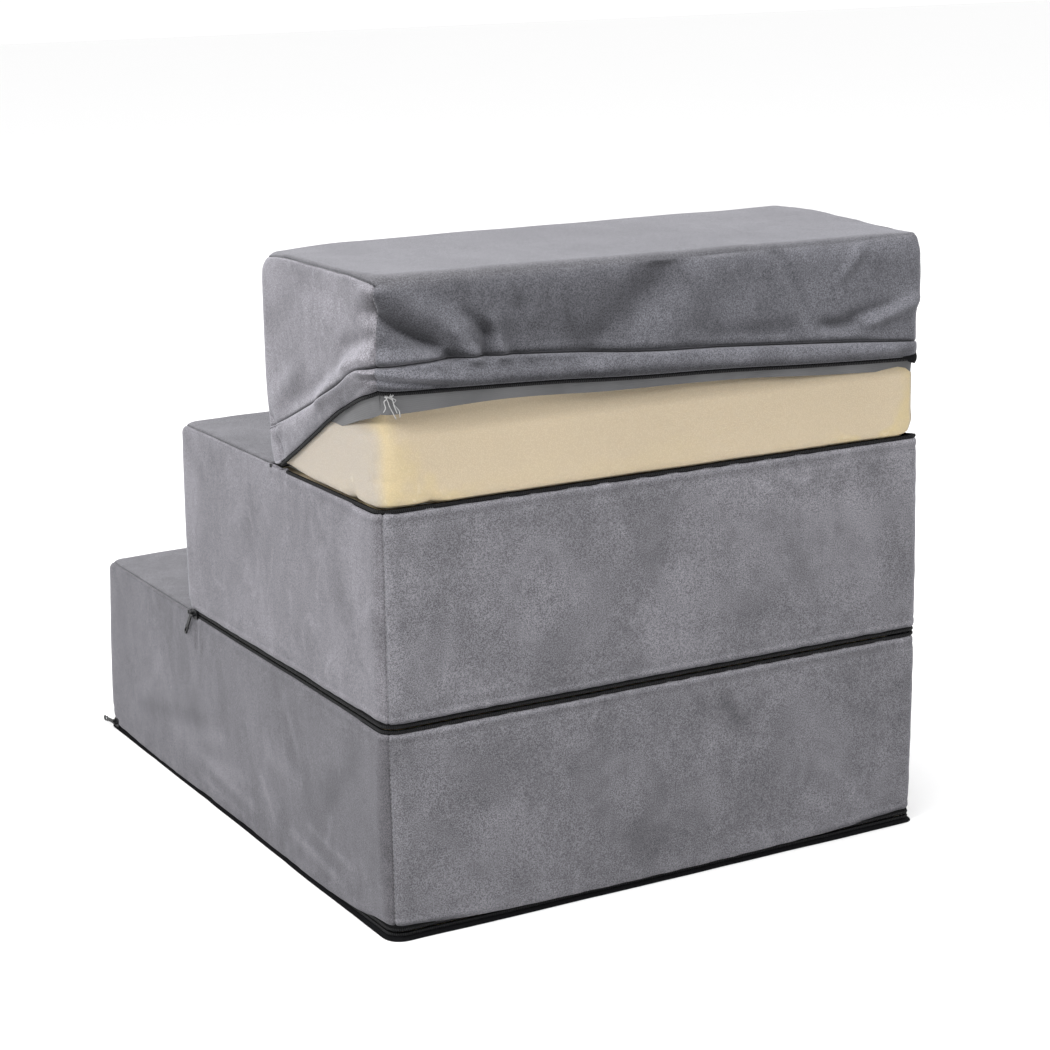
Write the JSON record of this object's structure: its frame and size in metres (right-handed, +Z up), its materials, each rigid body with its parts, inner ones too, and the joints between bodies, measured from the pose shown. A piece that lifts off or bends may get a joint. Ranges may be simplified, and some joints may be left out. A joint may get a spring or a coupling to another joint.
{
  "type": "pet stairs",
  "caption": "Folding foam pet stairs in a zip-off velvet cover: stacked tiers flush at the back, the top one's zip open and its cover pushed up",
  "frame": {"origin": "on the floor, in the middle of the outline", "axes": "+X to the right of a pet that climbs the stairs, +Y towards the tall flush back, +Z up"},
  "size_m": [0.4434, 0.5585, 0.45],
  "materials": {
    "velvet_side": "grey short-pile velvet, mottled nap",
    "velvet_back": "grey short-pile velvet, seen along the pile, darker",
    "velvet_strip": "grey short-pile velvet, over riser and tread",
    "foam": "open-cell foam, cut faces, porous",
    "zip": "black nylon coil on woven tape",
    "zip_metal": "glossy black enamel",
    "base_cloth": "black woven cloth with moulded grip dots",
    "liner": "thin white non-woven cloth",
    "fold_tape": "black woven tape"
  },
  "bodies": {
    "bottom_tier": {"base_cloth": "base_cloth", "base_zip_lower": "zip", "base_zip_upper": "zip", "base_zip_stops": "zip_metal", "bottom_foam_block": "foam", "bottom_step_strip": "velvet_strip", "bottom_side_panel_right": "velvet_side", "bottom_side_panel_left": "velvet_side", "bottom_back_panel": "velvet_back", "bottom_liner": "liner", "middle_fold_tape": "fold_tape", "middle_zip_lower": "zip", "middle_zip_stops": "zip_metal"},
    "middle_tier": {"middle_foam_block": "foam", "middle_step_strip": "velvet_strip", "middle_side_panel_right": "velvet_side", "middle_side_panel_left": "velvet_side", "middle_back_panel": "velvet_back", "middle_liner": "liner", "top_fold_tape": "fold_tape", "middle_zip_upper": "zip", "top_zip_lower": "zip", "top_zip_stops": "zip_metal"},
    "top_tier": {"top_foam_block": "foam", "top_step_strip": "velvet_strip", "top_side_panel_right": "velvet_side", "top_side_panel_left": "velvet_side", "top_zip_upper": "zip"},
    "base_slider": {"base_zip_slider": "zip_metal"},
    "base_tab": {"base_pull_tab": "zip_metal"},
    "middle_slider": {"middle_zip_slider": "zip_metal"},
    "middle_tab": {"middle_pull_tab": "zip_metal"},
    "top_slider": {"top_zip_slider": "zip_metal"},
    "top_tab": {"top_pull_tab": "zip_metal"}
  },
  "joints": [
    {"name": "middle_fold", "type": "hinge", "parent": "bottom_tier", "child": "middle_tier", "pos_m": [0, -0.0738, 0.1508], "axis": [1, 0, 0], "range_deg": [0, 90]},
    {"name": "top_fold", "type": "hinge", "parent": "middle_tier", "child": "top_tier", "pos_m": [0, 0.1022, 0.3008], "axis": [1, 0, 0], "range_deg": [0, 90]},
    {"name": "base_slider_travel", "type": "slide", "parent": "bottom_tier", "child": "base_slider", "axis": [0, 1, 0], "range_m": [0, 0.51]},
    {"name": "base_tab_swing", "type": "hinge", "parent": "base_slider", "child": "base_tab", "pos_m": [0.2197, -0.2555, 0.0056], "axis": [1, 0, 0], "range_deg": [-150, 0]},
    {"name": "middle_slider_travel", "type": "slide", "parent": "bottom_tier", "child": "middle_slider", "axis": [0, 1, 0], "range_m": [0, 0.31]},
    {"name": "middle_tab_swing", "type": "hinge", "parent": "middle_slider", "child": "middle_tab", "pos_m": [0.2197, -0.0583, 0.15], "axis": [1, 0, 0], "range_deg": [-50, 85]},
    {"name": "top_slider_travel", "type": "slide", "parent": "middle_tier", "child": "top_slider", "axis": [0, 1, 0], "range_m": [0, 0.14]},
    {"name": "top_tab_swing", "type": "hinge", "parent": "top_slider", "child": "top_tab", "pos_m": [-0.2197, 0.1137, 0.3], "axis": [1, 0, 0], "range_deg": [-75, 60]}
  ]
}
